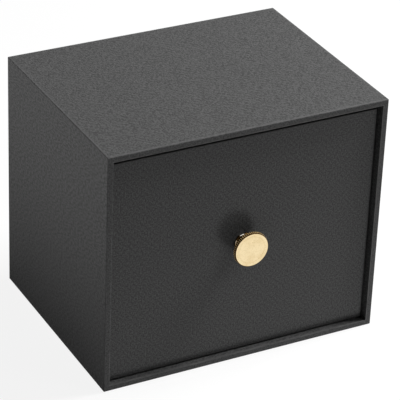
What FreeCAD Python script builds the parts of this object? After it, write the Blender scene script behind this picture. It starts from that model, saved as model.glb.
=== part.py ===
import FreeCAD, Part
import os
import Sketcher

# Drawer photo box: an open-fronted case of paper-covered greyboard with one pull-out tray.
# Frame: the origin is at the middle of the case's base, +Z up. The open front faces -Y, +X is to the
# right seen from the front. The tray's pieces are drawn in the tray's own frame, with its origin at
# the middle of its lower front edge, and the knob, screw and washer along their own axis.

# Driving sizes in millimetres, and one count: name, value, what it is.
SIZES = [
    ("case_width", 180, "over the covering paper"),
    ("case_height", 154, "from the surface that the case stands on to its top"),
    ("case_depth", 139, "from the front edges to the sheet on the back"),
    ("case_board", 3, "greyboard of the case"),
    ("cover_paper", 0.3, "embossed covering paper with its glue"),
    ("fold_radius", 0.6, "outer rounding of the covering paper over the edges"),
    ("lining_paper", 0.2, "lining paper with its glue"),
    ("case_turn_in", 15, "flap of covering paper turned over an edge of the case"),
    ("case_sheet_margin", 2.5, "base and back sheets stop this far short of the edges"),
    ("case_lining_setback", 5.5, "the case's lining starts this far behind its front edges"),
    ("drawer_board", 2.5, "greyboard of the tray's walls"),
    ("drawer_floor_board", 2, "greyboard of the tray's floor"),
    ("drawer_turn_in", 12, "flap of covering paper turned over the tray's rim and under its base"),
    ("drawer_sheet_margin", 2, "the tray's base sheet stops this far short of the edges"),
    ("drawer_lining_setback", 4, "the tray's lining starts this far below its rim"),
    ("drawer_recess", 4, "the closed drawer's front lies this far behind the front edges"),
    ("drawer_side_gap", 1.4, "clearance on each side of the tray, at the front edges"),
    ("drawer_top_gap", 3.3, "clearance above the tray's rim, at the front edges"),
    ("drawer_floor_gap", 0.2, "running clearance under the tray, over the lining"),
    ("drawer_rear_gap", 0.3, "clearance behind the closed tray"),
    ("knob_lift", 0.8, "from the middle of the case's front up to the knob's axis"),
    ("knob_diameter", 22, "over the lands of the fluted rim"),
    ("knob_height", 10.6, "from the drawer's front to the face of the knob"),
    ("head_thickness", 2.4, "fluted rim along the axis"),
    ("head_edge", 0.4, "bevel on both edges of the rim"),
    ("head_border", 0.8, "width of the raised border round the face"),
    ("dish_depth", 0.3, "face below the raised border"),
    ("bead_diameter", 17, "middle of the raised ring on the face"),
    ("bead_width", 0.5, "raised ring on the face"),
    ("bead_height", 0.125, "raised ring above the face, with sides that slope as much"),
    ("flute_count", 56, "flutes round the rim"),
    ("flute_width", 0.75, "opening of each V-shaped flute, from land to land"),
    ("flute_depth", 0.3, "each flute below the lands"),
    ("neck_diameter", 8.4, "slim part of the knob's neck"),
    ("head_flare", 2.4, "hollow curve from the neck into the back of the head"),
    ("foot_diameter", 12, "foot of the knob, on the drawer's front"),
    ("foot_thickness", 1.2, "rim of the foot along the axis"),
    ("foot_slope", 1.4, "height of the foot's slope, from its rim to the neck"),
    ("screw_diameter", 4, "shank of the knob's screw"),
    ("screw_length", 8, "below the screw's head"),
    ("screw_tip", 0.5, "bevel on the screw's tip"),
    ("thread_clearance", 0.05, "between the screw and the knob's hole, on the radius"),
    ("screw_end_gap", 1.2, "knob's hole beyond the screw's tip"),
    ("screw_head_diameter", 7.6, "pan head"),
    ("screw_head_height", 2.4, "pan head"),
    ("screw_head_edge", 1.1, "height of the pan head's upright rim"),
    ("recess_span", 4.2, "cross recess from tip to tip"),
    ("recess_width", 0.9, "arm of the cross recess"),
    ("recess_depth", 1.3, "cross recess"),
    ("screw_hole", 4.5, "hole for the screw through the drawer's front"),
    ("washer_diameter", 10, "under the screw's head"),
    ("washer_bore", 4.3, "under the screw's head"),
    ("washer_thickness", 0.8, "under the screw's head"),
]

doc = FreeCAD.newDocument("drawer_photo_box")
sheet = doc.addObject("Spreadsheet::Sheet", "sizes")
for row, (alias, value, meaning) in enumerate(SIZES, start=1):
    sheet.set(f"A{row}", alias)
    sheet.set(f"B{row}", str(value))
    sheet.set(f"C{row}", meaning)
    sheet.setAlias(f"B{row}", alias)
doc.recompute()

paper = "sizes.cover_paper"
lining = "sizes.lining_paper"

# The case across: half widths, from the outer face inwards.
case_half = "(sizes.case_width / 2)"
board_out_half = f"({case_half} - {paper})"
board_in_half = f"({board_out_half} - sizes.case_board)"
mouth_half = f"({board_in_half} - {paper})"

# The case upwards. The base sheet lies under the flaps that are turned under the bottom board.
case_top = "sizes.case_height"
board_low = f"({paper} + {paper})"
floor_level = f"({board_low} + sizes.case_board)"
mouth_low = f"({floor_level} + {paper})"
board_high = f"({case_top} - {paper})"
ceiling_level = f"({board_high} - sizes.case_board)"
mouth_high = f"({ceiling_level} - {paper})"

# The case from front to back. The back sheet lies over the flaps that are turned onto the back.
case_front = "(-sizes.case_depth / 2)"
case_back = "(sizes.case_depth / 2)"
board_front = f"({case_front} + {paper})"
lining_front = f"({case_front} + sizes.case_lining_setback)"
case_flap_end = f"({case_front} + sizes.case_turn_in)"
wrap_back = f"({case_back} - {paper})"
board_back = f"({wrap_back} - {paper})"
rear_wall = f"({board_back} - sizes.case_board)"

# Where the closed tray stands in the case, and its overall sizes.
tray_front = f"({case_front} + sizes.drawer_recess)"
tray_low = f"({mouth_low} + {lining} + sizes.drawer_floor_gap)"
tray_place = ("0", tray_front, tray_low)
tray_half = f"({mouth_half} - sizes.drawer_side_gap)"
tray_depth = f"({rear_wall} - {lining} - sizes.drawer_rear_gap - {tray_front})"
tray_height = f"({mouth_high} - sizes.drawer_top_gap - {tray_low})"

# The tray in its own frame: across, upwards and from front to back.
wall_out_half = f"({tray_half} - {paper})"
wall_in_half = f"({wall_out_half} - sizes.drawer_board)"
rim_half = f"({wall_in_half} - {paper})"
wall_low = f"({paper} + {paper})"
tray_floor = f"({wall_low} + sizes.drawer_floor_board)"
wall_high = f"({tray_height} - {paper})"
rim_flap_end = f"({tray_height} - sizes.drawer_turn_in)"
lining_high = f"({tray_height} - sizes.drawer_lining_setback)"
front_wall = f"({paper} + sizes.drawer_board)"
rim_front = f"({front_wall} + {paper})"
wall_back = f"({tray_depth} - {paper})"
back_wall = f"({wall_back} - sizes.drawer_board)"
rim_back = f"({back_wall} - {paper})"

# The knob stands near the middle of the case's front, and its screw comes from inside the tray.
knob_level = f"({case_top} / 2 + sizes.knob_lift)"
clamped_front = f"({front_wall} + {lining})"
clamped_stack = f"({clamped_front} + sizes.washer_thickness)"

# The assembly's own origin, as a place.
home = ("0", "0", "0")

# Directions that a piece's own Z axis can point in: up, out of the drawer's front, and into it.
upwards = FreeCAD.Vector(0, 0, 1)
outwards = FreeCAD.Vector(0, -1, 0)
inwards = FreeCAD.Vector(0, 1, 0)

# For each direction: the origin plane across it, and whether the plane's normal points along it.
PLANES = {"X": ("YZ_Plane", True), "Y": ("XZ_Plane", False), "Z": ("XY_Plane", True)}


def number(expression):
    """Return the value that an expression has now."""
    return float(sheet.evalExpression(expression))


def new_body(label, place=home, axis=upwards):
    """Start a piece, with its own frame placed in the assembly and its Z axis along a direction."""
    body = doc.addObject("PartDesign::Body", label)
    body.Label = label
    body.Placement = FreeCAD.Placement(FreeCAD.Vector(), FreeCAD.Rotation(upwards, axis))
    for direction, expression in zip("xyz", place):
        body.setExpression(f"Placement.Base.{direction}", expression)
    return body


def sketch_across(body, name, direction, level):
    """Attach a sketch to the body's origin plane across a direction, at a level along it."""
    role, along = PLANES[direction]
    sketch = body.newObject("Sketcher::SketchObject", name)
    plane = next(item for item in body.Origin.OriginFeatures if item.Role == role)
    sketch.AttachmentSupport = [(plane, "")]
    sketch.MapMode = "FlatFace"
    sketch.setExpression("AttachmentOffset.Base.z", level if along else f"0 - {level}")
    return sketch


def bind(sketch, constraint, name, expression):
    """Add a dimension to a sketch and bind it to the sheet's sizes."""
    index = sketch.addConstraint(constraint)
    sketch.renameConstraint(index, name)
    sketch.setExpression(f"Constraints.{name}", expression)


def draw_rectangle(sketch, name, box):
    """Draw a rectangle whose left, right, low and high sides are given by expressions."""
    left, right, low, high = (number(expression) for expression in box)
    corners = [(left, low), (right, low), (right, high), (left, high)]
    points = [FreeCAD.Vector(across, up, 0) for across, up in corners]
    first = sketch.GeometryCount
    for i in range(4):
        sketch.addGeometry(Part.LineSegment(points[i], points[(i + 1) % 4]), False)
    for i in range(4):
        join = Sketcher.Constraint("Coincident", first + i, 2, first + (i + 1) % 4, 1)
        sketch.addConstraint(join)
        level = "Horizontal" if i % 2 == 0 else "Vertical"
        sketch.addConstraint(Sketcher.Constraint(level, first + i))
    for word, rule, side, value, expression in [
        ("left", "DistanceX", first, left, box[0]),
        ("right", "DistanceX", first + 2, right, box[1]),
        ("low", "DistanceY", first, low, box[2]),
        ("high", "DistanceY", first + 2, high, box[3]),
    ]:
        bind(sketch, Sketcher.Constraint(rule, -1, 1, side, 1, value), f"{name}_{word}", expression)


def draw_circle(sketch, across, up, diameter):
    """Draw a circle whose centre and diameter are given by expressions."""
    centre = FreeCAD.Vector(number(across), number(up), 0)
    circle = Part.Circle(centre, FreeCAD.Vector(0, 0, 1), number(diameter) / 2)
    index = sketch.addGeometry(circle, False)
    bind(sketch, Sketcher.Constraint("DistanceX", -1, 1, index, 3, centre.x), "across", across)
    bind(sketch, Sketcher.Constraint("DistanceY", -1, 1, index, 3, centre.y), "up", up)
    bind(sketch, Sketcher.Constraint("Diameter", index, number(diameter)), "diameter", diameter)


def draw_profile(sketch, corners):
    """Draw a closed profile through corners, each given as (across, up, curve) in expressions.

    A curve bends the side that starts at its corner into an arc. It is given as (radius, hand),
    where the hand tells on which side of the way round the arc's centre lies.
    """
    points = [FreeCAD.Vector(number(across), number(up), 0) for across, up, _ in corners]
    count = len(corners)
    ends = []
    for i, (_, _, curve) in enumerate(corners):
        start, end = points[i], points[(i + 1) % count]
        if curve is None:
            sketch.addGeometry(Part.LineSegment(start, end), False)
            ends.append((1, 2))
            continue
        radius, hand = number(curve[0]), curve[1]
        chord = end - start
        centre_side = FreeCAD.Vector(-chord.y, chord.x, 0).normalize()
        if hand == "right":
            centre_side = centre_side * -1
        from_chord = (radius**2 - (chord.Length / 2) ** 2) ** 0.5
        middle = start + chord / 2 + centre_side * (from_chord - radius)
        sketch.addGeometry(Part.Arc(start, middle, end), False)
        ends.append((1, 2) if hand == "left" else (2, 1))
    for i, (across, up, curve) in enumerate(corners):
        following = (i + 1) % count
        join = Sketcher.Constraint("Coincident", i, ends[i][1], following, ends[following][0])
        sketch.addConstraint(join)
        begin = ends[i][0]
        bind(sketch, Sketcher.Constraint("DistanceX", -1, 1, i, begin, points[i].x), f"across_{i}", across)
        bind(sketch, Sketcher.Constraint("DistanceY", -1, 1, i, begin, points[i].y), f"up_{i}", up)
        if curve:
            bind(sketch, Sketcher.Constraint("Radius", i, number(curve[0])), f"radius_{i}", curve[0])


def extrude(body, name, sketch, direction, low, high, cut):
    """Pad or pocket a sketch from one level to another, and check that this changed the solid."""
    before = body.Shape.Volume if body.Tip else 0
    along = PLANES[direction][1]
    feature = body.newObject("PartDesign::Pocket" if cut else "PartDesign::Pad", name)
    feature.Profile = sketch
    feature.Reversed = along if cut else not along
    feature.setExpression("Length", f"{high} - {low}")
    doc.recompute()
    change = body.Shape.Volume - before
    if (change >= 0) if cut else (change <= 0):
        raise ValueError(f"{body.Label}: {name} left the solid as it was")
    return feature


def layer(body, name, direction, low, high, outer, inner=None, cut=False):
    """Add or cut what lies between two levels, inside one rectangle and round another."""
    sketch = sketch_across(body, f"{name}_outline", direction, low)
    draw_rectangle(sketch, "outer", outer)
    if inner:
        draw_rectangle(sketch, "inner", inner)
    return extrude(body, name, sketch, direction, low, high, cut)


def round_hole(body, name, direction, low, high, centre, diameter):
    """Cut a round hole from one level to another."""
    sketch = sketch_across(body, f"{name}_outline", direction, low)
    draw_circle(sketch, centre[0], centre[1], diameter)
    return extrude(body, name, sketch, direction, low, high, cut=True)


def round_all_edges(body, name, radius):
    """Round every edge that the solid has so far."""
    edges = [f"Edge{i}" for i in range(1, len(body.Shape.Edges) + 1)]
    base = body.Tip
    fillet = body.newObject("PartDesign::Fillet", name)
    fillet.Base = (base, edges)
    fillet.setExpression("Radius", radius)
    doc.recompute()


def spin(body, name, corners):
    """Turn a closed profile of (radius, height) corners round the piece's own Z axis."""
    sketch = sketch_across(body, f"{name}_profile", "Y", "0")
    draw_profile(sketch, corners)
    turned = body.newObject("PartDesign::Revolution", name)
    turned.Profile = sketch
    turned.ReferenceAxis = (sketch, ["V_Axis"])
    turned.Angle = 360
    doc.recompute()


def window(half, low, high, margin="0"):
    """Return a rectangle that is centred across, drawn in by a margin on all four sides."""
    return (f"({margin} - {half})", f"({half} - {margin})", f"({low} + {margin})", f"({high} - {margin})")


# Outlines that several pieces share: a half width, and the two levels that bound it the other way.
case_base = (case_half, case_front, wrap_back)
case_across = (board_out_half, board_low, board_high)
case_inside = (board_in_half, floor_level, ceiling_level)
case_mouth = (mouth_half, mouth_low, mouth_high)
tray_outline = (tray_half, "0", tray_depth)
tray_inside = (wall_in_half, front_wall, back_wall)
tray_rim = (rim_half, rim_front, rim_back)


def case_boards():
    """Make the case's panels: floor and ceiling, the walls between them, and the back."""
    footprint = window(board_out_half, board_front, board_back)
    layer(new_body("case_bottom_board"), "panel", "Z", board_low, floor_level, footprint)
    layer(new_body("case_top_board"), "panel", "Z", ceiling_level, board_high, footprint)
    side = (board_front, board_back, floor_level, ceiling_level)
    left = (f"(0 - {board_out_half})", f"(0 - {board_in_half})")
    layer(new_body("case_left_board"), "panel", "X", *left, side)
    layer(new_body("case_right_board"), "panel", "X", board_in_half, board_out_half, side)
    layer(new_body("case_back_board"), "panel", "Y", rear_wall, board_back, window(*case_inside))


def case_wrap():
    """Make the case's covering paper, folded round every outer edge of the boards.

    It covers the top and both sides. Its flaps are turned in round the mouth, onto the back and
    under the base, and leave the middles of the back and the base open.
    """
    body = new_body("case_wrap_paper")
    layer(body, "folded_sheet", "Z", paper, case_top, window(*case_base))
    round_all_edges(body, "folds", "sizes.fold_radius")
    layer(body, "room_for_boards", "Y", board_front, board_back, window(*case_across), cut=True)
    layer(body, "mouth", "Y", case_front, board_front, window(*case_mouth), cut=True)
    flaps = (window(*case_inside), window(*case_mouth))
    layer(body, "turned_in_flaps", "Y", board_front, case_flap_end, *flaps)
    open_back = window(case_half, paper, case_top, "sizes.case_turn_in")
    layer(body, "open_back", "Y", board_back, wrap_back, open_back, cut=True)
    open_base = window(*case_base, "sizes.case_turn_in")
    layer(body, "open_base", "Z", paper, board_low, open_base, cut=True)


def base_sheets(owner, place, outline, margin, turn_in):
    """Make the infill between the flaps under a base, and the flat sheet that covers both."""
    infill = new_body(f"{owner}_base_infill", place)
    layer(infill, "panel", "Z", paper, f"({paper} + {paper})", window(*outline, turn_in))
    cover = new_body(f"{owner}_base_paper", place)
    layer(cover, "panel", "Z", "0", paper, window(*outline, margin))


def case_back_sheet():
    """Make the sheet on the case's back, over the flaps and sunk between them onto the board."""
    body = new_body("case_back_paper")
    outline = (case_half, paper, case_top)
    border = window(*outline, "sizes.case_sheet_margin")
    lap = window(*outline, f"(sizes.case_turn_in + {paper})")
    layer(body, "border_over_flaps", "Y", wrap_back, case_back, border, lap)
    middle = window(*outline, "sizes.case_turn_in")
    layer(body, "sunk_middle", "Y", board_back, wrap_back, middle)


def wall_lining(body, direction, over_flaps, step, on_boards, flaps, walls):
    """Make the lining of four walls in a body: over the flaps, stepped down, then on the boards."""
    layer(body, "over_flaps", direction, *over_flaps, window(*flaps), window(*flaps, lining))
    layer(body, "step", direction, *step, window(*walls), window(*flaps, lining))
    layer(body, "on_boards", direction, *on_boards, window(*walls), window(*walls, lining))


def case_linings():
    """Make the lining of the case's four walls and of its back."""
    step_end = f"({case_flap_end} + {lining})"
    wall_lining(
        new_body("case_lining_paper"), "Y", (lining_front, case_flap_end), (case_flap_end, step_end),
        (step_end, rear_wall), case_mouth, case_inside,
    )
    back_lining = (f"({rear_wall} - {lining})", rear_wall)
    layer(new_body("case_back_lining"), "panel", "Y", *back_lining, window(*case_inside, lining))


def screw_passage(body, low, high):
    """Cut the hole for the knob's screw through one layer of the tray's front."""
    centre = ("0", f"({knob_level} - {tray_low})")
    round_hole(body, "screw_hole", "Y", low, high, centre, "sizes.screw_hole")


def tray_boards():
    """Make the tray's panels: front and back, the sides between them, and the floor inside."""
    broad_wall = (f"(0 - {wall_out_half})", wall_out_half, wall_low, wall_high)
    front = new_body("drawer_front_board", tray_place)
    layer(front, "panel", "Y", paper, front_wall, broad_wall)
    screw_passage(front, paper, front_wall)
    layer(new_body("drawer_back_board", tray_place), "panel", "Y", back_wall, wall_back, broad_wall)
    side = (front_wall, back_wall, wall_low, wall_high)
    left = (f"(0 - {wall_out_half})", f"(0 - {wall_in_half})")
    layer(new_body("drawer_left_board", tray_place), "panel", "X", *left, side)
    right = (wall_in_half, wall_out_half)
    layer(new_body("drawer_right_board", tray_place), "panel", "X", *right, side)
    floor = new_body("drawer_bottom_board", tray_place)
    layer(floor, "panel", "Z", wall_low, tray_floor, window(*tray_inside))


def tray_wrap():
    """Make the tray's covering paper, turned in over the rim and under the base."""
    body = new_body("drawer_wrap_paper", tray_place)
    layer(body, "folded_sheet", "Z", paper, tray_height, window(*tray_outline))
    round_all_edges(body, "folds", "sizes.fold_radius")
    layer(body, "room_for_boards", "Z", wall_low, wall_high, window(*tray_outline, paper), cut=True)
    layer(body, "mouth", "Z", wall_high, tray_height, window(*tray_rim), cut=True)
    flaps = (window(*tray_inside), window(*tray_rim))
    layer(body, "turned_in_flaps", "Z", rim_flap_end, wall_high, *flaps)
    open_base = window(*tray_outline, "sizes.drawer_turn_in")
    layer(body, "open_base", "Z", paper, wall_low, open_base, cut=True)
    screw_passage(body, "0", paper)


def tray_linings():
    """Make the lining of the tray's four walls and of its floor."""
    walls = new_body("drawer_lining_paper", tray_place)
    step_end = f"({rim_flap_end} - {lining})"
    wall_lining(
        walls, "Z", (rim_flap_end, lining_high), (step_end, rim_flap_end), (tray_floor, step_end),
        tray_rim, tray_inside,
    )
    screw_passage(walls, front_wall, clamped_front)
    floor = (tray_floor, f"({tray_floor} + {lining})")
    floor_lining = new_body("drawer_floor_lining", tray_place)
    layer(floor_lining, "panel", "Z", *floor, window(*tray_inside, lining))


def knob():
    """Turn the knob and cut its flutes. Its own frame has the foot at 0 and the face on top."""
    radius = "(sizes.knob_diameter / 2)"
    back_of_head = "(sizes.knob_height - sizes.head_thickness)"
    border_in = f"({radius} - sizes.head_edge - sizes.head_border)"
    dish = "(sizes.knob_height - sizes.dish_depth)"
    bead = "(sizes.bead_diameter / 2)"
    bead_out = f"({bead} + sizes.bead_width / 2)"
    bead_in = f"({bead} - sizes.bead_width / 2)"
    foot = "(sizes.foot_diameter / 2)"
    neck = "(sizes.neck_diameter / 2)"
    bore = "(sizes.screw_diameter / 2 + sizes.thread_clearance)"
    bore_end = f"(sizes.screw_length - {clamped_stack} + sizes.screw_end_gap)"
    body = new_body("knob", ("0", tray_front, knob_level), outwards)
    spin(body, "turned_blank", [
        (bore, "0", None),
        (foot, "0", None),
        (foot, "sizes.foot_thickness", None),
        (neck, "(sizes.foot_thickness + sizes.foot_slope)", None),
        (neck, f"({back_of_head} - sizes.head_flare)", ("sizes.head_flare", "right")),
        (f"({neck} + sizes.head_flare)", back_of_head, None),
        (f"({radius} - sizes.head_edge)", back_of_head, None),
        (radius, f"({back_of_head} + sizes.head_edge)", None),
        (radius, "(sizes.knob_height - sizes.head_edge)", None),
        (f"({radius} - sizes.head_edge)", "sizes.knob_height", None),
        (border_in, "sizes.knob_height", None),
        (f"({border_in} - sizes.dish_depth)", dish, None),
        (bead_out, dish, None),
        (f"({bead_out} - sizes.bead_height)", f"({dish} + sizes.bead_height)", None),
        (f"({bead_in} + sizes.bead_height)", f"({dish} + sizes.bead_height)", None),
        (bead_in, dish, None),
        ("0", dish, None),
        ("0", bore_end, None),
        (bore, bore_end, None),
    ])
    flute_sketch = sketch_across(body, "flute_outline", "Z", back_of_head)
    beyond_lands = f"({radius} + sizes.flute_depth)"
    draw_profile(flute_sketch, [
        (f"({radius} - sizes.flute_depth)", "0", None),
        (beyond_lands, "(0 - sizes.flute_width)", None),
        (beyond_lands, "sizes.flute_width", None),
    ])
    flute = extrude(body, "flute", flute_sketch, "Z", back_of_head, "sizes.knob_height", cut=True)
    flutes = body.newObject("PartDesign::PolarPattern", "flutes")
    flutes.Originals = [flute]
    flutes.Axis = (flute_sketch, ["N_Axis"])
    flutes.Angle = 360
    flutes.setExpression("Occurrences", "sizes.flute_count")
    body.Tip = flutes
    doc.recompute()


def knob_fixing():
    """Make the washer and the pan head screw that clamp the knob from inside the tray."""
    washer = new_body("knob_washer", ("0", f"{tray_front} + {clamped_front}", knob_level), inwards)
    sketch = sketch_across(washer, "ring_outline", "Z", "0")
    draw_circle(sketch, "0", "0", "sizes.washer_diameter")
    extrude(washer, "ring", sketch, "Z", "0", "sizes.washer_thickness", cut=False)
    span = ("0", "sizes.washer_thickness")
    round_hole(washer, "bore", "Z", *span, ("0", "0"), "sizes.washer_bore")

    shank = "(sizes.screw_diameter / 2)"
    head = "(sizes.screw_head_diameter / 2)"
    crown = "(sizes.screw_head_height - sizes.screw_head_edge)"
    screw = new_body("knob_screw", ("0", f"{tray_front} + {clamped_stack}", knob_level), inwards)
    spin(screw, "turned_blank", [
        ("0", "(0 - sizes.screw_length)", None),
        (f"({shank} - sizes.screw_tip)", "(0 - sizes.screw_length)", None),
        (shank, "(sizes.screw_tip - sizes.screw_length)", None),
        (shank, "0", None),
        (head, "0", None),
        (head, "sizes.screw_head_edge", (crown, "left")),
        (f"({head} - {crown})", "sizes.screw_head_height", None),
        ("0", "sizes.screw_head_height", None),
    ])
    recess = ("(sizes.screw_head_height - sizes.recess_depth)", "sizes.screw_head_height")
    arm = ("(0 - sizes.recess_span / 2)", "(sizes.recess_span / 2)")
    breadth = ("(0 - sizes.recess_width / 2)", "(sizes.recess_width / 2)")
    layer(screw, "recess_across", "Z", *recess, (*arm, *breadth), cut=True)
    layer(screw, "recess_upright", "Z", *recess, (*breadth, *arm), cut=True)


case_boards()
case_wrap()
base_sheets("case", home, case_base, "sizes.case_sheet_margin", "sizes.case_turn_in")
case_back_sheet()
case_linings()
tray_boards()
tray_wrap()
base_sheets("drawer", tray_place, tray_outline, "sizes.drawer_sheet_margin", "sizes.drawer_turn_in")
tray_linings()
knob()
knob_fixing()
doc.recompute()

for item in doc.Objects:
    if "Invalid" in item.State or "Error" in item.State:
        raise ValueError(f"{item.Name} did not compute: {item.State}")
pieces = [item for item in doc.Objects if item.TypeId == "PartDesign::Body"]
for piece in pieces:
    if piece.Shape.isNull() or not piece.Shape.isValid() or len(piece.Shape.Solids) != 1:
        raise ValueError(f"{piece.Label} is not one valid solid")

os.makedirs("parts", exist_ok=True)
for piece in pieces:
    piece.Shape.exportStep(f"parts/{piece.Label}.step")
    box = piece.Shape.BoundBox
    print(
        f"{piece.Label}: {piece.Shape.Volume / 1000:.3f} cm3, X {box.XMin:.2f} to {box.XMax:.2f}, "
        f"Y {box.YMin:.2f} to {box.YMax:.2f}, Z {box.ZMin:.2f} to {box.ZMax:.2f}"
    )
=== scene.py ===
"""Dress the drawer photo box: covering papers, linings, boards, the brass knob and its fixing.

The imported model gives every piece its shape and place. This script gives each piece its finish,
turns a finer knob over the plain one, and sets the studio: floor, lamps and camera.
"""

import logging
import math
from collections.abc import Callable
from dataclasses import dataclass, field
from enum import Enum
from functools import cached_property
from typing import Any

import bmesh
import bpy
from mathutils import Matrix, Vector


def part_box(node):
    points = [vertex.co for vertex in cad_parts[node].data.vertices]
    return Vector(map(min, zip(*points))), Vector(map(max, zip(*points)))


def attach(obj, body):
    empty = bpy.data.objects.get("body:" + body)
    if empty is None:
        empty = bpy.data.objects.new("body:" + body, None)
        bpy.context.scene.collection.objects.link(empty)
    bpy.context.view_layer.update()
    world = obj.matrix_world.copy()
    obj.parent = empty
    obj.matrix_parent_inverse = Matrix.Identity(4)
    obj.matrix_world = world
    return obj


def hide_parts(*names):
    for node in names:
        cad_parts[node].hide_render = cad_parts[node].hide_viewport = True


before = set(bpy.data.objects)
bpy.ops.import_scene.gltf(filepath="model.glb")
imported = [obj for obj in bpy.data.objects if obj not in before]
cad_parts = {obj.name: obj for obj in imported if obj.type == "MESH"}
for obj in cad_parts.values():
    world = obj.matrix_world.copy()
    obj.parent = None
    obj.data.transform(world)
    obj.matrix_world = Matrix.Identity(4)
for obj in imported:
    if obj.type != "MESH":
        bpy.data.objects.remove(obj)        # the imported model: bodies, nodes, joints and record

log = logging.getLogger("drawer_photo_box")

MM = 0.001
FAR = 1.0                # farther than any distance on the object, in metres

Value = Any
"""What a shader socket can be fed with: a Wire, a node's socket, a number or a list of numbers."""


class Axis(Enum):
    """The three directions of the model's frame, as the place of their number in a vector."""

    ACROSS = 0
    DEPTH = 1
    UP = 2


class Wire:
    """A number that flows between shader nodes and takes part in Python arithmetic."""

    def __init__(self, graph: "Graph", socket: bpy.types.NodeSocket) -> None:
        """Wrap an output that gives a number, of a node in the graph."""
        self.graph = graph
        self.socket = socket

    def __add__(self, other: Value) -> "Wire":
        """Return the sum."""
        return self.graph.math("ADD", self, other)

    def __radd__(self, other: Value) -> "Wire":
        """Return the sum, with the number on the left."""
        return self.graph.math("ADD", other, self)

    def __sub__(self, other: Value) -> "Wire":
        """Return the difference."""
        return self.graph.math("SUBTRACT", self, other)

    def __rsub__(self, other: Value) -> "Wire":
        """Return the difference, with the number on the left."""
        return self.graph.math("SUBTRACT", other, self)

    def __mul__(self, other: Value) -> "Wire":
        """Return the product."""
        return self.graph.math("MULTIPLY", self, other)

    def __rmul__(self, other: Value) -> "Wire":
        """Return the product, with the number on the left."""
        return self.graph.math("MULTIPLY", other, self)

    def __truediv__(self, other: Value) -> "Wire":
        """Return the quotient."""
        return self.graph.math("DIVIDE", self, other)

    def __mod__(self, other: Value) -> "Wire":
        """Return the remainder, which is never negative."""
        return self.graph.math("FLOORED_MODULO", self, other)

    def __abs__(self) -> "Wire":
        """Return the value without its sign."""
        return self.graph.math("ABSOLUTE", self)

    def __gt__(self, other: Value) -> "Wire":
        """Return 1 where the value is greater, and 0 elsewhere."""
        return self.graph.math("GREATER_THAN", self, other)

    def __lt__(self, other: Value) -> "Wire":
        """Return 1 where the value is less, and 0 elsewhere."""
        return self.graph.math("LESS_THAN", self, other)

    def floor(self) -> "Wire":
        """Return the whole number below the value."""
        return self.graph.math("FLOOR", self)

    def least(self, other: Value) -> "Wire":
        """Return the lesser of two values."""
        return self.graph.math("MINIMUM", self, other)

    def most(self, other: Value) -> "Wire":
        """Return the greater of two values."""
        return self.graph.math("MAXIMUM", self, other)

    def rise(self, start: float, end: float) -> "Wire":
        """Return a smooth step from 0 at the start to 1 at the end.

        Args:
            start: The value at which the step begins. It may lie above the end.
            end: The value at which the step is done.

        Returns:
            The step, from 0 to 1.
        """
        low, high = min(start, end), max(start, end)
        made = self.graph.node(
            "ShaderNodeMapRange",
            {"interpolation_type": "SMOOTHSTEP"},
            {"Value": self, "From Min": low, "From Max": high},
        )
        step = Wire(self.graph, made.outputs["Result"])
        return step if start < end else 1 - step


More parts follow.
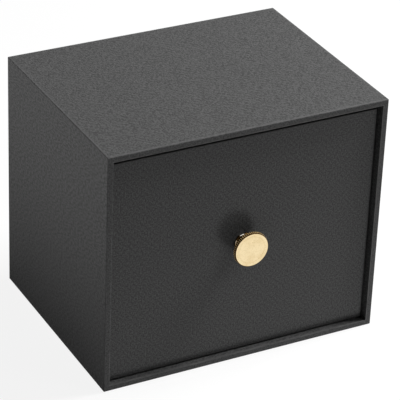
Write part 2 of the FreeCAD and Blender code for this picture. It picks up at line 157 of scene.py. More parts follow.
class Graph:
    """The shader nodes of one material, or of the surroundings."""

    def __init__(self, owner: bpy.types.Material | bpy.types.World) -> None:
        """Take over the owner's nodes, and start with none.

        Args:
            owner: What the nodes belong to.
        """
        owner.use_nodes = True
        self.owner = owner
        self.tree = owner.node_tree
        self.tree.nodes.clear()

    @classmethod
    def named(cls, name: str) -> "Graph":
        """Start a new material of this name."""
        return cls(bpy.data.materials.new(name))

    @cached_property
    def place(self) -> bpy.types.NodeSocket:
        """Return the surface's own place, in metres."""
        return self.node("ShaderNodeTexCoord").outputs["Object"]

    @cached_property
    def seen_directly(self) -> Wire:
        """Find what the camera sees, also in metal or through glass.

        Returns:
            1 for what it sees, and 0 for light that falls on other surfaces.
        """
        path = self.node("ShaderNodeLightPath")
        camera, glossy, through = (
            Wire(self, path.outputs[name])
            for name in ("Is Camera Ray", "Is Glossy Ray", "Is Transmission Ray")
        )
        return camera.most(glossy).most(through)

    def node(
        self,
        kind: str,
        settings: dict[str, Value] | None = None,
        values: dict[str | int, Value] | None = None,
    ) -> bpy.types.Node:
        """Add a node.

        Args:
            kind: The node's type.
            settings: Its settings, made first.
            values: What its sockets are given: numbers, wires or other nodes' sockets.

        Returns:
            The node.
        """
        made = self.tree.nodes.new(kind)
        for name, value in (settings or {}).items():
            setattr(made, name, value)
        for name, value in (values or {}).items():
            self._feed(made.inputs[name], value)
        return made

    def _feed(self, socket: bpy.types.NodeSocket, value: Value) -> None:
        """Give a socket its value, or link it to where its value comes from.

        Args:
            socket: The socket to feed.
            value: A number, a colour, a wire or another node's socket.
        """
        if isinstance(value, Wire):
            self.tree.links.new(value.socket, socket)
        elif isinstance(value, bpy.types.NodeSocket):
            self.tree.links.new(value, socket)
        else:
            socket.default_value = value

    def math(self, operation: str, *values: Value) -> Wire:
        """Return what a Math node works out from one or two numbers or wires."""
        made = self.node("ShaderNodeMath", {"operation": operation}, dict(enumerate(values)))
        return Wire(self, made.outputs[0])

    def parts(self, vector: Value) -> list[Wire]:
        """Return the three numbers of a vector."""
        made = self.node("ShaderNodeSeparateXYZ", None, {"Vector": vector})
        return [Wire(self, made.outputs[i]) for i in range(3)]

    def joined(self, across: Value, depth: Value, up: Value) -> bpy.types.NodeSocket:
        """Return the vector that three numbers make."""
        made = self.node("ShaderNodeCombineXYZ", None, {0: across, 1: depth, 2: up})
        return made.outputs[0]

    def stretched(self, vector: Value, scale: tuple[float, float, float]) -> bpy.types.NodeSocket:
        """Return a vector whose three numbers are each multiplied."""
        made = self.node("ShaderNodeVectorMath", {"operation": "MULTIPLY"}, {0: vector, 1: scale})
        return made.outputs[0]

    def noise(self, size: float, detail: float = 2.0, place: Value = None) -> Wire:
        """Add noise, about 0.5 on average.

        Args:
            size: How large its features are, in metres.
            detail: How many finer layers it has.
            place: Where it is read, if not at the surface's own place.

        Returns:
            The noise, from 0 to 1.
        """
        values = {"Vector": place or self.place, "Scale": 1 / size, "Detail": detail}
        made = self.node("ShaderNodeTexNoise", None, values)
        return Wire(self, made.outputs[0])

    def blend(self, share: Value, low: Value, high: Value) -> bpy.types.NodeSocket:
        """Return the colour that lies a share of the way, from 0 to 1, between two others."""
        made = self.node("ShaderNodeMix", {"data_type": "RGBA"}, {0: share, 6: low, 7: high})
        return made.outputs[2]

    def bump(self, height: Wire) -> bpy.types.NodeSocket:
        """Return the surface's normal as tilted by a height in millimetres."""
        made = self.node("ShaderNodeBump", None, {"Strength": 1.0, "Distance": MM, "Height": height})
        return made.outputs[0]

    def mixed(self, share: Value, first: bpy.types.Node, second: bpy.types.Node) -> bpy.types.Node:
        """Return a shader with a share of the second of two shaders, and the rest of the first."""
        surfaces = {0: share, 1: first.outputs[0], 2: second.outputs[0]}
        return self.node("ShaderNodeMixShader", None, surfaces)

    def finish(self, values: dict[str | int, Value]) -> bpy.types.Material:
        """Close the graph with a Principled shader.

        Args:
            values: What the shader's sockets are given.

        Returns:
            The material.
        """
        shader = self.node("ShaderNodeBsdfPrincipled", None, values)
        self.node("ShaderNodeOutputMaterial", None, {"Surface": shader.outputs[0]})
        return self.owner


def grey(level: float, warmth: float = 0.0) -> list[float]:
    """Return an opaque grey of a linear level, redder and less blue by a share of it."""
    return [level * (1 + warmth), level, level * (1 - warmth), 1.0]


@dataclass(frozen=True)
class Bounds:
    """A box of the model, whose faces and edges finishes are measured from."""

    low: Vector
    high: Vector

    @classmethod
    def of(cls, node: str) -> "Bounds":
        """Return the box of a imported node."""
        return cls(*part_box(node))

    @property
    def centre(self) -> Vector:
        """Return the middle of the box."""
        return (self.low + self.high) / 2

    def insets(self, graph: Graph) -> list[Wire]:
        """Work out how far inside the box a point lies, from each pair of faces.

        Args:
            graph: The graph that uses it.

        Returns:
            The three distances, in metres.
        """
        found = []
        for axis, coordinate in enumerate(graph.parts(graph.place)):
            half = (self.high[axis] - self.low[axis]) / 2
            found.append(half - abs(coordinate - self.centre[axis]))
        return found


class Facing:
    """Which way the surface faces, worked out once for a graph."""

    nearest: float = 0.7

    def __init__(self, graph: Graph) -> None:
        """Find which of the three directions the surface's normal is nearest to.

        Args:
            graph: The graph that reads it.
        """
        normal = graph.node("ShaderNodeNewGeometry").outputs["True Normal"]
        self.normal = graph.parts(normal)
        self.across, self.depth, self.up = (abs(part) > self.nearest for part in self.normal)


@dataclass(frozen=True)
class Mouth:
    """An opening that covering paper is turned in round, such as the case's front."""

    room: Bounds
    axis: Axis
    side: int

    def edge(self, graph: Graph, facing: Facing) -> Wire:
        """Work out how far a point on the rim lies from the opening.

        Args:
            graph: The graph that uses it.
            facing: Which way the surface faces.

        Returns:
            The distance in metres, and a far one off the rim.
        """
        insets = self.room.insets(graph)
        first, second = (insets[axis.value] for axis in Axis if axis is not self.axis)
        on_rim = facing.normal[self.axis.value] * self.side > Facing.nearest
        return abs(first.least(second)) + (1 - on_rim) * FAR


@dataclass(frozen=True)
class Weave:
    """Strands embossed at 45 degrees, which pass over and under each other like a broken twill."""

    pitch: float = 3.02 * MM
    sunk: float = 0.35
    repeat: int = 4

    def height(self, graph: Graph, along: Wire, beside: Wire) -> Wire:
        """Work out the embossing.

        Args:
            graph: The graph that uses it.
            along: Distance along the strands that rise to the right, in metres.
            beside: Distance along those that fall to the right, in metres.

        Returns:
            The height, from 0 between strands to 1 where a strand passes over.
        """
        falling, rising = along / self.pitch, beside / self.pitch
        over = self._over(rising.floor(), falling.floor())
        rising_ridge = abs(graph.math("SINE", rising * math.pi))
        falling_ridge = abs(graph.math("SINE", falling * math.pi))
        lift = 1 - self.sunk
        rising_strand = rising_ridge * (self.sunk + over * falling_ridge * lift)
        falling_strand = falling_ridge * (self.sunk + (1 - over) * rising_ridge * lift)
        return rising_strand.most(falling_strand)

    def _over(self, rising: Wire, falling: Wire) -> Wire:
        """Find where a rising strand passes over a falling one.

        The third and fourth rising strands of each repeat change places, which breaks the twill.

        Args:
            rising: The rising strand's number.
            falling: The falling strand's number.

        Returns:
            1 where the rising strand is on top, and 0 elsewhere.
        """
        order = rising % self.repeat
        swapped = order + (order > 1.5) * (5 - 2 * order)
        return ((falling - swapped) % self.repeat) < 1.5


@dataclass(frozen=True)
class CoveringPaper:
    """Black paper with an embossed grain, glued round the boards' edges.

    Its tone comes from a faint weave and from a stronger crepe of fine wrinkles. The wrinkles are
    drawn out along the depth on the upright sides. Edges are worn a little paler, and that paler
    colour also paints the highlight that the rounded edges catch, with a wider painted highlight
    along the top face's edges. The slices are where the top and the front cut the noise, so that no
    two kinds of face have the same wrinkles.
    """

    weave: Weave = Weave()
    low_level: float = 0.035
    high_level: float = 0.075
    # Paler grey of worn edges, which also paints the highlight that the edges catch.
    worn_and_highlight_level: float = 0.1
    emboss: float = 0.06
    weave_share: float = 0.14
    middle_tone: float = 0.455
    crepe_size: float = 0.9 * MM
    crepe: float = 0.3
    contrast: float = 2.2
    side_contrast: float = 3.2
    top_contrast: float = 0.6
    side_stretch: float = 0.6
    up_slice: float = 0.5
    depth_slice: float = 0.9
    ripple_size: float = 34 * MM
    ripple: float = 0.05
    wear_and_highlight_reach: float = 0.6 * MM
    wear_and_highlight_core: float = 0.15 * MM
    wear_and_highlight_patch: float = 9 * MM
    wear_and_highlight_patchiness: float = 0.6
    # A painted highlight: a paler band along the top face's edges.
    top_painted_highlight: float = 0.36
    top_highlight_reach: float = 1.9 * MM
    top_highlight_core: float = 0.7 * MM
    crease_width: float = 0.09 * MM
    crease_reach: float = 22 * MM
    roughness: float = 0.62
    crepe_roughness: float = 0.25
    worn_polish: float = 0.1
    sheen: float = 0.06

    def make(
        self,
        name: str,
        bounds: Bounds,
        mouth: Mouth | None = None,
        mitred: Callable[[Facing], Value] | None = None,
    ) -> bpy.types.Material:
        """Make the paper's material for one wrapped box.

        Args:
            name: The material's name.
            bounds: The wrapped box, whose edges are worn paler and brightened by a painted highlight.
            mouth: The box's opening, if it has one.
            mitred: Gives 1 on the faces where corner creases show, if any do.

        Returns:
            The material.
        """
        graph = Graph.named(name)
        facing = Facing(graph)
        x, y, z = graph.parts(graph.place)
        across = x + (y - x) * facing.across
        up = z + (y - z) * facing.up
        along, beside = (across + up) * math.sqrt(0.5), (across - up) * math.sqrt(0.5)
        woven = self.weave.height(graph, along, beside)
        drawn_out = across * (1.0 - facing.across * self.side_stretch)
        layer = facing.up * self.up_slice + facing.depth * self.depth_slice
        crepe = graph.noise(self.crepe_size, 2.0, graph.joined(drawn_out, up, layer))
        insets = bounds.insets(graph)
        edge = self._edge(graph, insets, facing, mouth)
        # Painted highlight along the top face's edges.
        top_highlight_edge = facing.up * edge.rise(self.top_highlight_reach, self.top_highlight_core)
        # Edge wear together with the painted edge highlight, and the wider painted highlight on the top.
        wear_and_highlight = self._wear_and_highlight(graph, edge).most(top_highlight_edge * self.top_painted_highlight)
        crease = self._crease(insets, facing, mitred) if mitred else 0.0
        contrast = self.contrast + facing.across * self.side_contrast + facing.up * self.top_contrast
        tone = woven * self.weave_share + (crepe - 0.5) * contrast + self.middle_tone
        paper = graph.blend(tone.rise(0.0, 1.0), grey(self.low_level), grey(self.high_level))
        # Paler where the edges are worn and where their highlight is painted.
        colour = graph.blend(wear_and_highlight, paper, grey(self.worn_and_highlight_level))
        ripple = graph.noise(self.ripple_size, 1.0)
        height = woven * self.emboss + crepe * self.crepe + ripple * self.ripple - crease * self.emboss
        return graph.finish({
            "Base Color": colour,
            "Roughness": self.roughness + (crepe - 0.5) * self.crepe_roughness - wear_and_highlight * self.worn_polish,
            "Specular IOR Level": self.sheen,
            "Normal": graph.bump(height),
        })

    def _edge(self, graph: Graph, insets: list[Wire], facing: Facing, mouth: Mouth | None) -> Wire:
        """Work out the distance along the surface to the nearest edge that is worn paler and painted
        with a highlight.

        Args:
            graph: The material's graph.
            insets: How far inside the box a point lies, along each direction.
            facing: Which way the surface faces.
            mouth: The box's opening, if it has one.

        Returns:
            The distance in metres.
        """
        across, depth, up = insets
        edge = (across + facing.across * FAR).least(depth + facing.depth * FAR)
        edge = edge.least(up + facing.up * FAR)
        return edge.least(mouth.edge(graph, facing)) if mouth else edge

    def _wear_and_highlight(self, graph: Graph, edge: Wire) -> Wire:
        """Return how worn the surface is, with its painted edge highlight: most at the edges, and there
        in patches.
        """
        patches = 1 + (graph.noise(self.wear_and_highlight_patch, 3.0).rise(0.4, 0.66) - 1) * self.wear_and_highlight_patchiness
        return edge.rise(self.wear_and_highlight_reach, self.wear_and_highlight_core) * patches

    def _crease(
        self, insets: list[Wire], facing: Facing, mitred: Callable[[Facing], Value]
    ) -> Wire:
        """Find the diagonal cuts where two turned flaps meet at a corner.

        Args:
            insets: How far inside the box a point lies, along each direction.
            facing: Which way the surface faces.
            mitred: Gives 1 on the faces where corner creases show.

        Returns:
            1 along the cuts, and 0 elsewhere.
        """
        across, depth, up = insets
        on_front_or_back = self._diagonal(across, up) * facing.depth
        on_base_or_rim = self._diagonal(across, depth) * facing.up
        return mitred(facing) * (on_front_or_back + on_base_or_rim)

    def _diagonal(self, first: Wire, second: Wire) -> Wire:
        """Return 1 where a point is as far from one side as from another, near a corner."""
        line = abs(first - second).rise(self.crease_width, 0.0)
        return line * (first < self.crease_reach)


@dataclass(frozen=True)
class PlainPaper:
    """Smooth uncoated paper: a lining, or the infill under a base sheet."""

    level: float
    warmth: float = 0.0
    darker: float = 0.78
    lighter: float = 1.25
    fibre_size: float = 0.5 * MM
    fibre_stretch: tuple[float, float, float] = (1.0, 0.35, 1.0)
    fibre_share: float = 0.7
    mottle_size: float = 6 * MM
    tooth: float = 0.02
    roughness: float = 0.85
    mottle_roughness: float = 0.1

    def make(self, name: str) -> bpy.types.Material:
        """Make the paper's material.

        Args:
            name: The material's name.

        Returns:
            The material.
        """
        graph = Graph.named(name)
        fibres = graph.noise(self.fibre_size, 4.0, graph.stretched(graph.place, self.fibre_stretch))
        mottle = graph.noise(self.mottle_size, 2.0)
        tone = fibres * self.fibre_share + mottle * (1 - self.fibre_share)
        colour = graph.blend(
            tone.rise(0.3, 0.7),
            grey(self.level * self.darker, self.warmth),
            grey(self.level * self.lighter, self.warmth),
        )
        return graph.finish({
            "Base Color": colour,
            "Roughness": self.roughness + (mottle - 0.5) * self.mottle_roughness,
            "Normal": graph.bump(fibres * self.tooth),
        })


@dataclass(frozen=True)
class Greyboard:
    """Pressed grey board: soft mottled faces with darker and lighter fibres."""

    level: float = 0.31
    warmth: float = 0.08
    spread: float = 0.15
    pulp_size: float = 4 * MM
    fleck_size: float = 0.8 * MM
    fleck_level: float = 0.12
    fleck_share: float = 0.6
    tooth: float = 0.05
    roughness: float = 0.88
    pulp_roughness: float = 0.1

    def make(self, name: str) -> bpy.types.Material:
        """Make the board's material.

        Args:
            name: The material's name.

        Returns:
            The material.
        """
        graph = Graph.named(name)
        pulp = graph.noise(self.pulp_size, 4.0)
        flecks = graph.noise(self.fleck_size, 2.0)
        base = graph.blend(
            pulp.rise(0.3, 0.7),
            grey(self.level * (1 - self.spread), self.warmth),
            grey(self.level * (1 + self.spread), self.warmth),
        )
        dark = grey(self.fleck_level, self.warmth)
        colour = graph.blend(flecks.rise(0.66, 0.74) * self.fleck_share, base, dark)
        return graph.finish({
            "Base Color": colour,
            "Roughness": self.roughness + (pulp - 0.5) * self.pulp_roughness,
            "Normal": graph.bump(flecks * self.tooth),
        })


@dataclass(frozen=True)
class Brass:
    """Polished brass, darkened to brown in the flutes by patina and by painted shade, with painted
    shade behind the head and a painted dark reflection round the face's edge.

    The lathe left fine rings round the knob's axis. The face is dulled in soft clouds, in small
    marks and in the grooves beside its bead. Painted highlights brighten patches of the foot's
    edge, above the axis only.
    """

    polished: tuple[float, float, float, float] = (0.87, 0.71, 0.435, 1.0)
    # Dark brown: patina in the flutes, and painted shade behind the head and at the face's edge.
    aged_and_shaded: tuple[float, float, float, float] = (0.05, 0.024, 0.005, 1.0)
    dulled: tuple[float, float, float, float] = (0.62, 0.42, 0.16, 1.0)
    # Colour of the painted highlight on the foot's edge.
    foot_highlight_level: float = 1.0
    foot_highlight_warmth: float = 0.1
    ring_size: float = 0.16 * MM
    ring_depth: float = 0.0012
    cloud_size: float = 5 * MM
    cloud_depth: float = 0.003
    cloud_share: float = 0.22
    mark_size: float = 0.9 * MM
    mark_share: float = 0.2
    groove_width: float = 0.16 * MM
    groove_share: float = 0.3
    rim_share: float = 0.7
    roughness: float = 0.12
    ring_roughness: float = 0.08
    dull_roughness: float = 0.3
    rim_roughness: float = 0.42
    softness: float = 0.1 * MM
    # How many painted highlight patches go round the foot, and where they start.
    foot_highlight_patches: float = 6.0
    foot_highlight_turn: float = -3.4

    def make(self, name: str, knob: "Knob") -> bpy.types.Material:
        """Make the metal's material.

        Args:
            name: The material's name.
            knob: The knob that it is for, whose sizes tell where it is darkened and where highlights are
                painted.

        Returns:
            The material.
        """
        graph = Graph.named(name)
        foot = knob.foot_centre
        x, y, z = graph.parts(graph.place)
        out_x, out_z = x - foot.x, z - foot.z
        radius = graph.math("SQRT", out_x * out_x + out_z * out_z)
        height = foot.y - y
        angle = graph.math("ARCTAN2", out_z, out_x)
        back = knob.height - knob.head_thickness
        face = knob.height - knob.head_edge
        rim = radius > knob.radius - knob.flute_depth - knob.head_edge / 2
        on_face = height.rise(face - self.softness, face)
        behind_head = height.rise(back + 2 * self.softness, back)
        # Painted highlight on patches of the foot's edge, above the axis.
        foot_highlight = self._painted_foot_highlight(graph, radius, angle, knob) * out_z.rise(-2 * MM, 6 * MM)
        # Dark in the flutes from patina and painted shade, painted shade behind the head, painted dark
        # reflection at the face's edge.
        aged_and_shaded = self._in_flute(angle, knob) * rim
        aged_and_shaded = aged_and_shaded.most(behind_head * (1 - foot_highlight)).most(self._edge_line(radius, knob) * on_face)
        rings = graph.noise(self.ring_size, 2.0, graph.joined(radius, 0.0, 0.0))
        cloud = graph.noise(self.cloud_size, 3.0)
        marks = graph.noise(self.mark_size, 4.0).rise(0.5, 0.75)
        dull = cloud.rise(0.42, 0.7) * self.cloud_share + marks * self.mark_share
        dull = dull + self._groove(radius, knob) * on_face * self.groove_share
        metal = graph.blend(dull.most(rim * self.rim_share), self.polished, self.dulled)
        bright = grey(self.foot_highlight_level, self.foot_highlight_warmth)
        # Lay the painted highlight over the foot's edge.
        metal = graph.blend(foot_highlight * behind_head, metal, bright)
        rough = self.roughness + (rings - 0.5) * self.ring_roughness
        return graph.finish({
            # Dark where the patina and the painted shade are.
            "Base Color": graph.blend(aged_and_shaded, metal, self.aged_and_shaded),
            "Metallic": 1.0,
            "Roughness": rough + dull * self.dull_roughness + rim * self.rim_roughness,
            "Normal": graph.bump(rings * self.ring_depth + cloud * self.cloud_depth),
        })

    def _in_flute(self, angle: Wire, knob: "Knob") -> Wire:
        """Find the flutes.

        Args:
            angle: The angle round the knob's axis.
            knob: The knob.

        Returns:
            1 in the flutes and 0 on the lands.
        """
        turns = angle * (knob.flute_count / math.tau)
        beside = abs(turns % 1.0 - 0.5) * (math.tau * knob.radius / knob.flute_count)
        half = knob.flute_width / 2
        return beside.rise(half, half - 0.8 * self.softness)

    def _edge_line(self, radius: Wire, knob: "Knob") -> Wire:
        """Return 1 in the painted dark reflection outside the face's bright part, and 0 within it."""
        return radius.rise(knob.face_radius - self.softness / 2, knob.face_radius + self.softness / 2)

    def _groove(self, radius: Wire, knob: "Knob") -> Wire:
        """Return 1 in the corners on both sides of the face's bead, and 0 elsewhere."""
        beside = abs(radius - knob.bead_radius) - knob.bead_width * 0.6
        return abs(beside).rise(self.groove_width, 0.0)

    def _painted_foot_highlight(self, graph: Graph, radius: Wire, angle: Wire, knob: "Knob") -> Wire:
        """Find where a highlight is painted on the foot's edge.

        Args:
            graph: The material's graph.
            radius: The distance from the knob's axis.
            angle: The angle round it.
            knob: The knob.

        Returns:
            How strong the painted highlight is, and 0 elsewhere.
        """
        edge = knob.foot_radius
        inner = radius.rise(edge - 3.5 * self.softness, edge - 1.5 * self.softness)
        patches = graph.math("SINE", angle * self.foot_highlight_patches + self.foot_highlight_turn)
        return inner * (radius < edge + self.softness) * patches.rise(-0.2, 0.5)


@dataclass(frozen=True)
class ZincSteel:
    """Zinc-plated steel, slightly clouded and a little blue."""

    low_level: float = 0.5
    low_warmth: float = -0.03
    high_level: float = 0.66
    high_warmth: float = -0.02
    cloud_size: float = 1.5 * MM
    cloud_depth: float = 0.004
    roughness: float = 0.28
    cloud_roughness: float = 0.2

    def make(self, name: str) -> bpy.types.Material:
        """Make the metal's material.

        Args:
            name: The material's name.

        Returns:
            The material.
        """
        graph = Graph.named(name)
        cloud = graph.noise(self.cloud_size, 4.0)
        low = grey(self.low_level, self.low_warmth)
        high = grey(self.high_level, self.high_warmth)
        return graph.finish({
            "Base Color": graph.blend(cloud.rise(0.35, 0.7), low, high),
            "Metallic": 1.0,
            "Roughness": self.roughness + (cloud - 0.5) * self.cloud_roughness,
            "Normal": graph.bump(cloud * self.cloud_depth),
        })


def dress(node: str, material: bpy.types.Material) -> None:
    """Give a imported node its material.

    Args:
        node: The node's name.
        material: The finish.
    """
    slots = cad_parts[node].data.materials
    slots.clear()
    slots.append(material)
    log.info("dressed %s", node)


class PaperStock:
    """The papers and the board that the case and the drawer are made from."""

    def __init__(self) -> None:
        """Make the materials that several pieces share."""
        self.covering = CoveringPaper()
        self.lining_material = PlainPaper(level=0.03).make("lining_paper")
        self.infill_material = PlainPaper(level=0.4, warmth=0.06).make("infill_paper")
        self.board_material = Greyboard().make("greyboard")


@dataclass
class Case:
    """The open-fronted case: boards, covering paper, closing sheets and linings."""

    boards: tuple[str, ...] = (
        "case_bottom_board", "case_top_board", "case_left_board", "case_right_board", "case_back_board",
    )
    sheets: tuple[str, ...] = ("case_base_paper", "case_back_paper")
    linings: tuple[str, ...] = ("case_lining_paper", "case_back_lining")
    wrap: str = "case_wrap_paper"
    infill: str = "case_base_infill"

    def dress(self, papers: PaperStock) -> None:
        """Give every piece of the case its finish.

        Args:
            papers: The materials that the pieces share.
        """
        mouth = Mouth(self._room(), Axis.DEPTH, -1)
        wrapped = papers.covering.make(
            self.wrap,
            Bounds.of(self.wrap),
            mouth,
            lambda facing: 1 - facing.up * (facing.normal[Axis.UP.value] > 0),
        )
        dress(self.wrap, wrapped)
        for node in self.sheets:
            dress(node, papers.covering.make(node, Bounds.of(node)))
        for node in self.linings:
            dress(node, papers.lining_material)
        dress(self.infill, papers.infill_material)
        for node in self.boards:
            dress(node, papers.board_material)

    def _room(self) -> Bounds:
        """Measure the case's front opening.

        Returns:
            The room between the flaps that are turned in round it.
        """
        bottom, top, left, right, _ = (Bounds.of(node) for node in self.boards)
        paper = Bounds.of(self.wrap).high.x - right.high.x
        low = Vector((left.high.x + paper, left.low.y, bottom.high.z + paper))
        high = Vector((right.low.x - paper, left.high.y, top.low.z - paper))
        return Bounds(low, high)


@dataclass
class Drawer:
    """The tray-like drawer: boards, covering paper, base sheet and linings."""

    boards: tuple[str, ...] = (
        "drawer_front_board", "drawer_back_board", "drawer_left_board", "drawer_right_board",
        "drawer_bottom_board",
    )
    linings: tuple[str, ...] = ("drawer_lining_paper", "drawer_floor_lining")
    wrap: str = "drawer_wrap_paper"
    sheet: str = "drawer_base_paper"
    infill: str = "drawer_base_infill"

    def dress(self, papers: PaperStock) -> None:
        """Give every piece of the drawer its finish.

        Args:
            papers: The materials that the pieces share.
        """
        mouth = Mouth(self._room(), Axis.UP, 1)
        wrapped = papers.covering.make(
            self.wrap, Bounds.of(self.wrap), mouth, lambda facing: facing.up
        )
        dress(self.wrap, wrapped)
        dress(self.sheet, papers.covering.make(self.sheet, Bounds.of(self.sheet)))
        for node in self.linings:
            dress(node, papers.lining_material)
        dress(self.infill, papers.infill_material)
        for node in self.boards:
            dress(node, papers.board_material)

    def _room(self) -> Bounds:
        """Measure the tray's opening.

        Returns:
            The room between the flaps that are turned in over its rim.
        """
        front, back, left, right, bottom = (Bounds.of(node) for node in self.boards)
        paper = Bounds.of(self.wrap).high.x - right.high.x
        low = Vector((left.high.x + paper, front.high.y + paper, bottom.high.z))
        high = Vector((right.low.x - paper, back.low.y - paper, front.high.z))
        return Bounds(low, high)


@dataclass
class Knob:
    """The turned brass knob, with its fluted rim, and the screw and washer that hold it.

    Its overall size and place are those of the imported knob. Heights go along its axis, from the
    foot on the drawer's front to the face.
    """

    head_thickness: float = 2.4 * MM
    head_edge: float = 0.4 * MM
    # Width of the painted dark reflection round the face.
    edge_line: float = 0.15 * MM
    guard: float = 0.16 * MM
    border: float = 0.8 * MM
    dish: float = 0.3 * MM
    bead_radius: float = 8.5 * MM
    bead_width: float = 0.5 * MM
    bead_height: float = 0.125 * MM
    flute_count: int = 56
    flute_depth: float = 0.3 * MM
    flute_width: float = 0.82 * MM
    neck_radius: float = 4.2 * MM
    head_flare: float = 2.4 * MM
    foot_radius: float = 6.0 * MM
    foot_thickness: float = 1.2 * MM
    foot_slope: float = 1.4 * MM
    bore_radius: float = 2.05 * MM
    bore_depth: float = 5.2 * MM
    rounding: float = 0.07 * MM
    steps_per_flute: int = 10
    flare_steps: int = 10
    weld_distance: float = 0.001 * MM
    round_above: float = math.radians(25)
    smooth_below: float = math.radians(32)
    low: Vector = field(default_factory=lambda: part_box("knob")[0])
    high: Vector = field(default_factory=lambda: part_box("knob")[1])

    @property
    def radius(self) -> float:
        """Return the radius over the lands of the rim."""
        return (self.high.x - self.low.x) / 2

    @property
    def height(self) -> float:
        """Return the height from the foot to the face."""
        return self.high.y - self.low.y

    @property
    def face_radius(self) -> float:
        """Return the radius of the face's bright part, inside the painted dark line at its edge."""
        return self.radius - self.head_edge - self.edge_line

    @property
    def foot_centre(self) -> Vector:
        """Return the middle of the foot, on the drawer's front."""
        return Vector(((self.low.x + self.high.x) / 2, self.high.y, (self.low.z + self.high.z) / 2))

    def outline(self) -> list[tuple[float, float]]:
        """Draw the turned profile, from the bore to the face's middle.

        Returns:
            The points, as (radius, height).
        """
        back = self.height - self.head_thickness
        border_in = self.radius - self.head_edge - self.border
        floor = self.height - self.dish
        bead_out = self.bead_radius + self.bead_width / 2
        bead_in = self.bead_radius - self.bead_width / 2
        flare = [
            (
                self.neck_radius + self.head_flare * (1 - math.cos(turn)),
                back - self.head_flare * (1 - math.sin(turn)),
            )
            for turn in (math.pi / 2 * step / self.flare_steps for step in range(self.flare_steps + 1))
        ]
        return [
            (0.0, self.bore_depth),
            (self.bore_radius, self.bore_depth),
            (self.bore_radius, 0.0),
            (self.foot_radius, 0.0),
            (self.foot_radius, self.foot_thickness),
            (self.neck_radius, self.foot_thickness + self.foot_slope),
            *flare,
            (self.radius - self.head_edge, back),
            (self.radius, back + self.head_edge),
            (self.radius, self.height - self.head_edge),
            (self.radius - self.head_edge, self.height),
            (border_in, self.height),
            (border_in - self.dish, floor),
            (bead_out, floor),
            (bead_out - self.bead_height, floor + self.bead_height),
            (bead_in + self.bead_height, floor + self.bead_height),
            (bead_in, floor),
            (0.0, floor),
        ]

    def build(self) -> bpy.types.Object:
        """Turn the knob, round its edges, cut its flutes and set it on the drawer's front.

        Returns:
            The knob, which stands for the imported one.
        """
        mesh = bmesh.new()
        points = [mesh.verts.new((out, 0.0, along)) for out, along in self._guarded(self.outline())]
        edges = [mesh.edges.new(pair) for pair in zip(points, points[1:])]
        bmesh.ops.spin(
            mesh, geom=[*points, *edges], cent=(0, 0, 0), axis=(0, 0, 1), dvec=(0, 0, 0),
            angle=math.tau, steps=self.flute_count * self.steps_per_flute, use_merge=True,
            use_normal_flip=False, use_duplicate=False,
        )
        bmesh.ops.remove_doubles(mesh, verts=mesh.verts, dist=self.weld_distance)
        bmesh.ops.recalc_face_normals(mesh, faces=mesh.faces)
        self._round_edges(mesh)
        self._cut_flutes(mesh)
        turn = Matrix.Translation(self.foot_centre) @ Matrix.Rotation(math.pi / 2, 4, "X")
        bmesh.ops.transform(mesh, matrix=turn, verts=mesh.verts)
        piece = new_piece("brass_knob", mesh, self.smooth_below)
        metal = Brass().make("knob_brass", self)
        piece.data.materials.append(metal)
        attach(piece, "drawer")
        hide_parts("knob")
        return piece

    def _guarded(self, points: list[tuple[float, float]]) -> list[tuple[float, float]]:
        """Add a point near both ends of each long straight, so that it shades flat between them.

        Args:
            points: The outline.

        Returns:
            The outline with its guards.
        """
        found = [points[0]]
        for start, end in zip(points, points[1:]):
            length = math.dist(start, end)
            if length > 3 * self.guard:
                for share in (self.guard / length, 1 - self.guard / length):
                    found.append(tuple(a + (b - a) * share for a, b in zip(start, end)))
            found.append(end)
        return found

    def _round_edges(self, mesh: bmesh.types.BMesh) -> None:
        """Round the turned edges that are sharper than the flare's own facets.

        Args:
            mesh: The turned mesh, before its flutes are cut.
        """
        rings = [
            edge for edge in mesh.edges
            if len(edge.link_faces) == 2 and edge.calc_face_angle(0.0) > self.round_above
        ]
        bmesh.ops.bevel(
            mesh, geom=rings, offset=self.rounding, offset_type="OFFSET", segments=2, profile=0.5,
            affect="EDGES", material=-1, clamp_overlap=True,
        )

    def _cut_flutes(self, mesh: bmesh.types.BMesh) -> None:
        """Draw the rim in to a hollow between each two lands.

        Args:
            mesh: The turned mesh, with its edges rounded.
        """
        pitch = math.tau / self.flute_count
        for vert in mesh.verts:
            out = math.hypot(vert.co.x, vert.co.y)
            if out < self.radius - self.flute_depth - self.head_edge:
                continue
            turn = math.atan2(vert.co.y, vert.co.x) % pitch
            beside = (turn - pitch / 2) * self.radius / (self.flute_width / 2)
            hollow = self.flute_depth * max(0.0, 1 - beside * beside)
            share = min(1.0, (self.radius - hollow) / out)
            vert.co.x *= share
            vert.co.y *= share

    def dress_fixing(self) -> None:
        """Give the washer and the screw their finish."""
        zinc = ZincSteel().make("zinc_steel")
        for node in ("knob_washer", "knob_screw"):
            dress(node, zinc)


def new_piece(name: str, mesh: bmesh.types.BMesh, smooth_below: float) -> bpy.types.Object:
    """Turn a finished mesh into an object of the scene.

    Args:
        name: The piece's name.
        mesh: The mesh, which is used up.
        smooth_below: The angle in radians below which two faces shade as one surface.

    Returns:
        The object, at the origin.
    """
    data = bpy.data.meshes.new(name)
    mesh.to_mesh(data)
    mesh.free()
    data.shade_smooth()
    data.set_sharp_from_angle(angle=smooth_below)
    piece = bpy.data.objects.new(name, data)
    bpy.context.scene.collection.objects.link(piece)
    log.info("built %s with %d faces", name, len(data.polygons))
    return piece


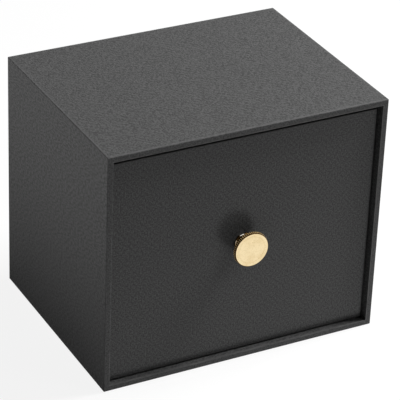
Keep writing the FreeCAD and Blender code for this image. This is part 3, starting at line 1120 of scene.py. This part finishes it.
@dataclass(frozen=True)
class Softbox:
    """A square lamp with an even white face, which polished metal may show or not."""

    name: str
    place: tuple[float, float, float]
    size: float
    watts: float
    aim: tuple[float, float, float] = (0.0, 0.0, 0.077)
    in_reflections: bool = True

    def light(self) -> None:
        """Hang the lamp and turn its face to its aim."""
        data = bpy.data.lights.new(self.name, "AREA")
        data.shape = "SQUARE"
        data.size = self.size
        data.energy = self.watts
        lamp = bpy.data.objects.new(self.name, data)
        lamp.location = self.place
        turn = (Vector(self.aim) - Vector(self.place)).to_track_quat("-Z", "Y")
        lamp.rotation_euler = turn.to_euler()
        lamp.visible_glossy = self.in_reflections
        bpy.context.scene.collection.objects.link(lamp)


@dataclass(frozen=True)
class PhotoCamera:
    """The camera, at the photograph's angle and distance.

    The slides are how far the object's middle lies from the picture's middle, as the camera
    sees it.
    """

    azimuth: float = math.radians(-28.53)
    elevation: float = math.radians(29.29)
    roll: float = math.radians(2.32)
    distance: float = 1.34748
    slide_right: float = -4.986 * MM
    slide_down: float = -4.626 * MM
    focal_pixels: float = 2238.3
    image_pixels: float = 400.0
    sensor: float = 36.0

    def build(self, centre: Vector) -> bpy.types.Object:
        """Make the camera and use it.

        Args:
            centre: The middle of the object.

        Returns:
            The camera.
        """
        flat = math.cos(self.elevation)
        back = Vector((
            math.sin(self.azimuth) * flat,
            -math.cos(self.azimuth) * flat,
            math.sin(self.elevation),
        ))
        level_right = (-back).cross(Vector((0, 0, 1))).normalized()
        level_up = back.cross(level_right)
        right = level_right * math.cos(self.roll) + level_up * math.sin(self.roll)
        up = level_up * math.cos(self.roll) - level_right * math.sin(self.roll)
        data = bpy.data.cameras.new("photo_camera")
        data.sensor_fit = "HORIZONTAL"
        data.sensor_width = self.sensor
        data.lens = self.focal_pixels / self.image_pixels * self.sensor
        data.clip_start = 0.05
        data.clip_end = 50.0
        camera = bpy.data.objects.new("photo_camera", data)
        turn = Matrix((right, up, back)).transposed().to_4x4()
        place = centre + back * self.distance - right * self.slide_right + up * self.slide_down
        camera.matrix_world = Matrix.Translation(place) @ turn
        bpy.context.scene.collection.objects.link(camera)
        bpy.context.scene.camera = camera
        return camera


@dataclass
class Studio:
    """The pale floor, the plain surroundings, the soft lamps and the camera.

    The floor is a pale grey to the light that it throws back, and nearly white to the eye.
    """

    floor_size: float = 16.0
    floor_drop: float = 0.05 * MM
    floor_level: float = 0.44
    seen_level: float = 0.8
    white_share: float = 0.88
    softboxes: tuple[Softbox, ...] = (
        Softbox("right_softbox", (0.85, -0.10, 1.1), 0.45, 33.5),
        Softbox("left_card", (-0.57, 0.15, 0.005), 0.45, 5.75, (-0.57, 0.15, 1.0)),
        Softbox("front_card", (0.45, -0.6, 0.75), 0.25, 1.2, (0.0, 0.0, 0.077), False),
        Softbox("table_bounce", (0.289, -0.546, -0.428), 0.2, 2.6, (0.0, -0.077, 0.077), False),
    )
    camera: PhotoCamera = PhotoCamera()

    def build(self, centre: Vector) -> None:
        """Set up everything round the object.

        Args:
            centre: The middle of the object.
        """
        self._lay_floor()
        self._light_sky()
        for softbox in self.softboxes:
            softbox.light()
        self.camera.build(centre)
        bpy.context.scene.view_settings.view_transform = "Standard"

    def _lay_floor(self) -> None:
        """Lay a pale floor that shows nearly white and keeps the object's shadow.

        The lamp that stands for what the table throws up at the front is below the floor, so the
        floor lets the light of lamps through.
        """
        mesh = bmesh.new()
        bmesh.ops.create_grid(mesh, x_segments=4, y_segments=4, size=self.floor_size / 2)
        bmesh.ops.translate(mesh, verts=mesh.verts, vec=(0, 0, -self.floor_drop))
        floor = new_piece("floor", mesh, smooth_below=0.5)
        graph = Graph.named("floor")
        plain = graph.node("ShaderNodeBsdfDiffuse", None, {"Color": grey(self.floor_level)})
        pale = graph.node("ShaderNodeBsdfDiffuse", None, {"Color": grey(self.seen_level)})
        white = graph.node("ShaderNodeEmission", None, {"Color": grey(1.0), "Strength": 1.0})
        seen = graph.mixed(self.white_share, pale, white)
        surface = graph.mixed(graph.seen_directly, plain, seen)
        graph.node("ShaderNodeOutputMaterial", None, {"Surface": surface.outputs[0]})
        floor.data.materials.append(graph.owner)
        floor.visible_shadow = False

    def _light_sky(self) -> None:
        """Show the surroundings white, and leave the light to the lamps and the floor."""
        world = bpy.data.worlds.new("surroundings")
        bpy.context.scene.world = world
        graph = Graph(world)
        white = {"Color": grey(1.0), "Strength": graph.seen_directly}
        sky = graph.node("ShaderNodeBackground", None, white)
        graph.node("ShaderNodeOutputWorld", None, {"Surface": sky.outputs[0]})


def main() -> None:
    """Dress the model, build what is finer than it, and set the studio round it."""
    logging.basicConfig(level=logging.INFO, format="%(name)s: %(message)s")
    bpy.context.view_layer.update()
    papers = PaperStock()
    Case().dress(papers)
    Drawer().dress(papers)
    knob = Knob()
    knob.build()
    knob.dress_fixing()
    Studio().build(Bounds.of("case_wrap_paper").centre)


if __name__ == "__main__":
    main()
